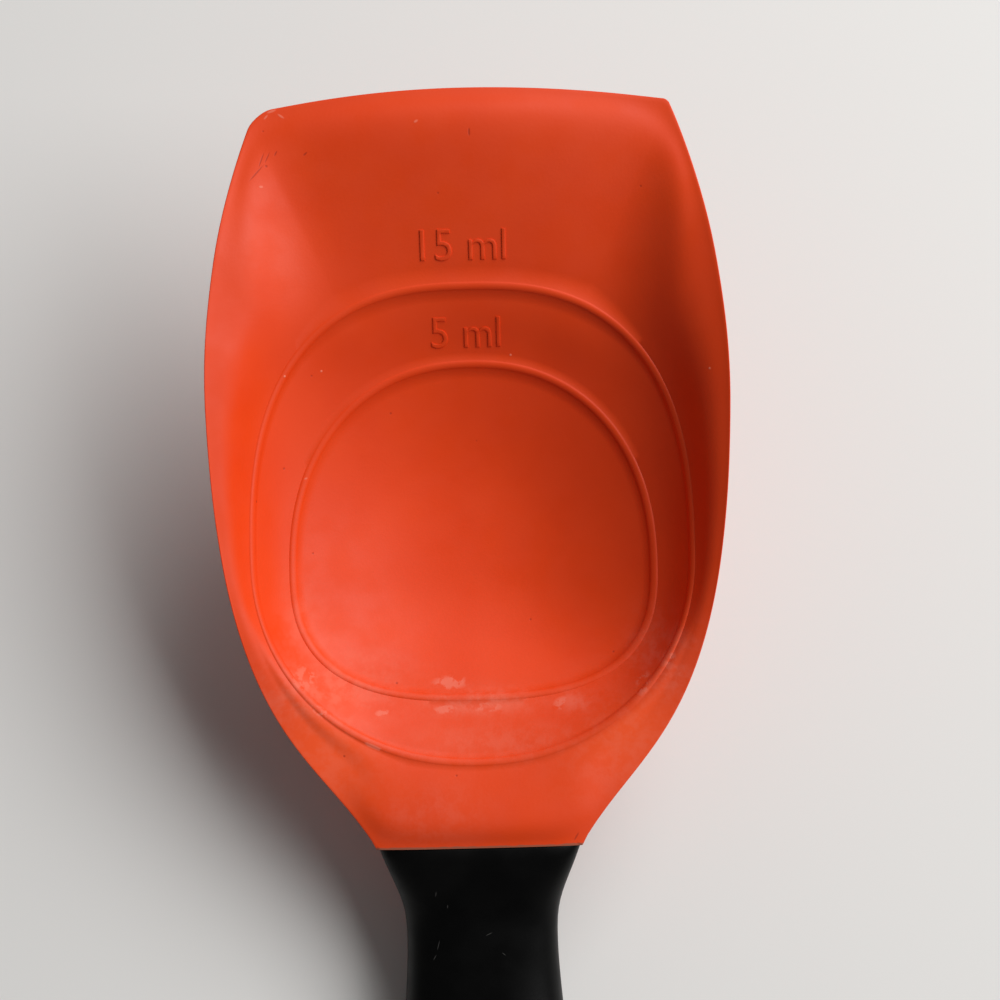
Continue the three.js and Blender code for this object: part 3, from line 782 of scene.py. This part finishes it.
def makeHandle():
    spine = handleSpine()
    last = spine[-1][0]

    def section(distance):
        k = next(i for i in range(len(spine) - 1) if spine[i + 1][0] >= distance or i == len(spine) - 2)
        share = (distance - spine[k][0]) / (spine[k + 1][0] - spine[k][0])
        centre = spine[k][1].lerp(spine[k + 1][1], share)
        half = spine[k][2].lerp(spine[k + 1][2], share)
        along = (spine[min(k + 2, len(spine) - 1)][1] - spine[max(k - 1, 0)][1]).normalized()
        up = Vector((1, 0, 0)).cross(along).normalized()
        up = up if up.z > 0 else -up
        left = min(1.0, max(0.0, (last - distance) / handle["endRound"]))
        shrink = math.sqrt(1 - (1 - left) ** 2)
        power = mix(handle["power"], neck["power"], 1 - ease(distance, 0, handle["waist"]))
        places = []
        for i in range(handle["around"]):
            angle = 2 * math.pi * i / handle["around"]
            x, z = (math.copysign(abs(v) ** (2 / power), v) for v in (math.sin(angle), math.cos(angle)))
            places.append(centre + Vector((half.x * shrink * x, 0, 0)) + up * half.y * math.sqrt(shrink) * z)
        return places

    straight = last - handle["endRound"] + handle["overrun"]
    count = math.ceil(straight / handle["step"])
    coarse = [straight * i / count - handle["overrun"] for i in range(count + 1)]
    slotFar = next(d for d, centre, _ in spine if centre.y < handle["slotAt"])
    distances = []
    for a, b in zip(coarse, coarse[1:]):  # closer sections around the slot
        near = abs(a - slotFar) < handle["slotSize"][1] / 2 + 2 * handle["step"]
        cuts = math.ceil(handle["step"] / handle["slotStep"]) if near else 1
        distances += [mix(a, b, i / cuts) for i in range(cuts)]
    distances.append(straight - handle["overrun"])
    ends = [math.sin(handle["endSweep"] * (i + 1) / handle["endSteps"]) for i in range(handle["endSteps"])]
    distances += [last - handle["endRound"] * (1 - e) for e in ends]
    bm = bmesh.new()
    ring = startRing(bm, section(distances[0]))
    for distance in distances[1:]:
        ring = nextRing(bm, ring, section(distance))
    closeRing(bm, ring)
    bmesh.ops.recalc_face_normals(bm, faces=bm.faces[:])
    geometry = bm.verts[:] + bm.edges[:] + bm.faces[:]
    seamNormal = seamPose.to_3x3() @ Vector((0, 1, 0))
    seamPoint = seamPose @ Vector((0, -handle["gap"], 0))
    cut = bmesh.ops.bisect_plane(
        bm, geom=geometry, dist=planeSlack, plane_co=seamPoint, plane_no=seamNormal, clear_outer=True
    )["geom_cut"]
    seamEdges = [e for e in cut if isinstance(e, bmesh.types.BMEdge)]
    bmesh.ops.edgeloop_fill(bm, edges=seamEdges)
    bmesh.ops.bevel(
        bm, geom=seamEdges, offset=handle["seamRound"], segments=handle["seamSegments"], profile=bevelProfile,
        affect="EDGES", material=-1,
    )
    geometry = bm.verts[:] + bm.edges[:] + bm.faces[:]
    bmesh.ops.bisect_plane(bm, geom=geometry, dist=planeSlack, plane_co=(0, 0, 0), plane_no=(0, 0, 1))
    for v in bm.verts:
        v.co.z = max(0.0, v.co.z)
    cutSlot(bm)
    bmesh.ops.transform(bm, matrix=toMetres @ spoonPose, verts=bm.verts[:])
    finishPiece("nylon_handle", bm, nylon, "handle_nylon", handle["sharp"], "handle")


def cutSlot(bm):  # a slot with round ends, through the handle from top to bottom
    radius = handle["slotSize"][0] / 2
    run = handle["slotSize"][1] / 2 - radius
    skin = BVHTree.FromBMesh(bm)
    inside = []
    for face in bm.faces:
        middle = face.calc_center_median()
        over = abs(middle.x) < radius and abs(middle.y - handle["slotAt"]) < run + radius
        if over and abs(face.normal.z) > handle["slotFacing"]:
            inside.append(face)
    bmesh.ops.delete(bm, geom=inside, context="FACES")
    borders = [e for e in bm.edges if len(e.link_faces) == 1]
    for v in {v for e in borders for v in e.verts}:
        spot = Vector((v.co.x, v.co.y - handle["slotAt"]))
        way = spot.normalized()
        reach = radius / max(abs(way.x), handle["tiny"])
        if abs(way.y) * reach > run:
            reach = abs(way.y) * run + math.sqrt(radius**2 - (run * way.x) ** 2)
        x, y = way * reach
        high = v.co.z > handle["stations"][-1][1]  # above the spine
        start = Vector((x, y + handle["slotAt"], clear if high else -clear))
        v.co = skin.ray_cast(start, Vector((0, 0, -1 if high else 1)))[0]
    bmesh.ops.bridge_loops(bm, edges=borders)
    bmesh.ops.bevel(
        bm, geom=borders, offset=handle["slotRound"], segments=handle["slotSegments"], profile=bevelProfile,
        affect="EDGES", material=-1, clamp_overlap=True,
    )


makeHandle()
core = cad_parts["nylon_core"]
core.data.materials.clear()
core.data.materials.append(coreFinish())
print("core finished")


# stage, light and camera

stageLook = {"colour": (0.72, 0.71, 0.69, 1), "roughness": 0.9, "size": 2.5, "cells": 8}
lightLook = {
    "aim": (0.0, 48.0, -4.0),  # in the head's millimetres
    "from": (0.61, 0.29, 0.74),  # in the frame's axes
    "distance": 0.9,
    "size": (1.3, 0.6),
    "power": 13.2,
    "world": 0.12,
}
photoView = {
    "eye": (3.56, 42.72, 174.3),  # in the head's millimetres
    "roll": math.radians(1.37),
    "focal": 1450.0,  # in pixels
    "image": 1000,
    "sensor": 36.0,
    "nearest": 0.01,
}


def makeFloor():
    bm = bmesh.new()
    cells = stageLook["cells"]
    bmesh.ops.create_grid(bm, x_segments=cells, y_segments=cells, size=stageLook["size"])
    mesh = bpy.data.meshes.new("floor")
    bm.to_mesh(mesh)
    bm.free()
    paint = bpy.data.materials.new("floor_paint")
    paint.use_nodes = True
    shader = paint.node_tree.nodes["Principled BSDF"]
    shader.inputs["Base Color"].default_value = stageLook["colour"]
    shader.inputs["Roughness"].default_value = stageLook["roughness"]
    mesh.materials.append(paint)
    floor = bpy.data.objects.new("floor", mesh)
    bpy.context.scene.collection.objects.link(floor)


def makeLights():
    aim = toMetres @ headPose @ Vector(lightLook["aim"])
    way = Vector(lightLook["from"]).normalized()
    lamp = bpy.data.lights.new("window", "AREA")
    lamp.shape = "RECTANGLE"
    lamp.size, lamp.size_y = lightLook["size"]
    lamp.energy = lightLook["power"]
    window = bpy.data.objects.new("window", lamp)
    turn = way.to_track_quat("Z", "Y").to_matrix().to_4x4()
    window.matrix_world = Matrix.Translation(aim + way * lightLook["distance"]) @ turn
    bpy.context.scene.collection.objects.link(window)
    world = bpy.data.worlds.new("room")
    world.use_nodes = True
    background = world.node_tree.nodes["Background"]
    background.inputs["Color"].default_value = (1, 1, 1, 1)
    background.inputs["Strength"].default_value = lightLook["world"]
    bpy.context.scene.world = world


def makeCamera():
    lens = bpy.data.cameras.new("camera")
    lens.sensor_width = photoView["sensor"]
    lens.lens = photoView["focal"] * photoView["sensor"] / photoView["image"]
    lens.clip_start = photoView["nearest"]
    camera = bpy.data.objects.new("camera", lens)
    turn = (headPose @ Matrix.Rotation(-photoView["roll"], 4, "Z")).to_3x3().to_4x4()
    camera.matrix_world = Matrix.Translation(toMetres @ headPose @ Vector(photoView["eye"])) @ turn
    bpy.context.scene.collection.objects.link(camera)
    bpy.context.scene.camera = camera


makeFloor()
makeLights()
makeCamera()
bpy.context.scene.view_settings.view_transform = "Standard"
print("stage set")

bpy.context.view_layer.update()
